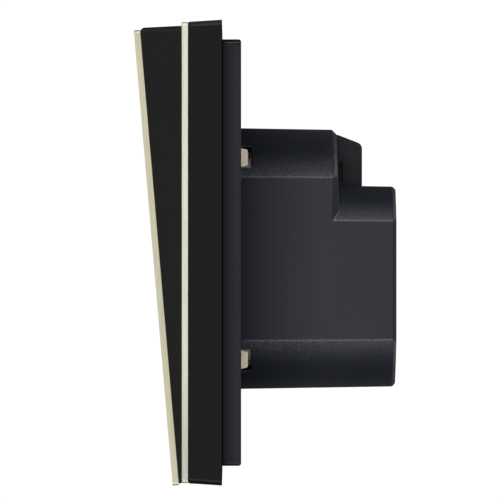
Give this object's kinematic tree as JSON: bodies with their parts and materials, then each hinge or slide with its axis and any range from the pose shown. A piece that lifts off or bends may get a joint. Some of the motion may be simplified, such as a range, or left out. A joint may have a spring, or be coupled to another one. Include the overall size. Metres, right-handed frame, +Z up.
{
  "type": "key card switch",
  "caption": "Square wall key card energy switch with a leaning metal fascia, a card slot open at the top, a sprung lever on a microswitch and a round-cornered rear housing with screw terminals.",
  "frame": {"origin": "on the wall plane, which is the support plate's rear face, midway between the two box screws", "axes": "+Y into the wall, so that the front faces -Y; +X to the right as seen from the front; +Z up"},
  "size_m": [0.086, 0.049, 0.086],
  "materials": {
    "fascia_metal": "fine brushed, champagne anodised",
    "trim_metal": "fine brushed, champagne anodised",
    "pocket_plastic": "fine spark-eroded",
    "cover_plastic": "fine spark-eroded",
    "plate_plastic": "smooth",
    "housing_plastic": "smooth with sparkle at the edges",
    "terminal_plastic": "smooth",
    "chassis_plastic": "smooth ivory",
    "lever_plastic": "smooth",
    "plunger_plastic": "smooth",
    "switch_plastic": "smooth",
    "clear_plastic": "clear",
    "steel": "turned",
    "spring_steel": "drawn wire",
    "screw_steel": "zinc plated",
    "tinned_metal": "tinned",
    "brass": "stamped",
    "board_laminate": "solder resist",
    "lamp_epoxy": "clear",
    "chip_epoxy": "moulded",
    "relay_plastic": "smooth",
    "film_case_plastic": "smooth",
    "can_sleeve": "shrunk sleeve",
    "varistor_epoxy": "dipped",
    "fuse_plastic": "smooth",
    "resistor_enamel": "dipped",
    "diode_epoxy": "moulded"
  },
  "bodies": {
    "base": {"fascia_plate": "fascia_metal", "card_pocket": "pocket_plastic", "trim_plate": "trim_metal", "cover_frame": "cover_plastic", "light_guide": "clear_plastic", "support_plate": "plate_plastic", "front_chassis": "chassis_plastic", "lever_pin": "steel", "lever_spring": "spring_steel", "microswitch_case": "switch_plastic", "microswitch_pins": "tinned_metal", "main_board": "board_laminate", "board_screws": "steel", "indicator_led": "lamp_epoxy", "control_chip": "chip_epoxy", "relay_case": "relay_plastic", "relay_pins": "tinned_metal", "film_capacitor": "film_case_plastic", "electrolytic_capacitor": "can_sleeve", "varistor": "varistor_epoxy", "fuse": "fuse_plastic", "dropper_resistors": "resistor_enamel", "rectifier_diodes": "diode_epoxy", "component_leads": "tinned_metal", "rear_housing": "housing_plastic", "terminal_block": "terminal_plastic", "terminal_clamps": "brass", "terminal_screws": "screw_steel", "terminal_tabs": "brass"},
    "lever": {"card_lever": "lever_plastic"},
    "plunger": {"microswitch_plunger": "plunger_plastic"}
  },
  "joints": [
    {"name": "lever_hinge", "type": "hinge", "parent": "base", "child": "lever", "pos_m": [0, -0.0062, -0.01118], "axis": [1, 0, 0], "range_deg": [0, 13.75], "stiffness_Nm_per_rad": 0.0048, "springref_deg": -13.75, "deforming": ["lever_spring"]},
    {"name": "plunger_slide", "type": "slide", "parent": "base", "child": "plunger", "axis": [0, 1, 0], "range_m": [0, 0.000801]}
  ],
  "couplings": [
    {"joint": "plunger_slide", "follows": "lever_hinge", "m_per_rad": 0.0033356}
  ]
}
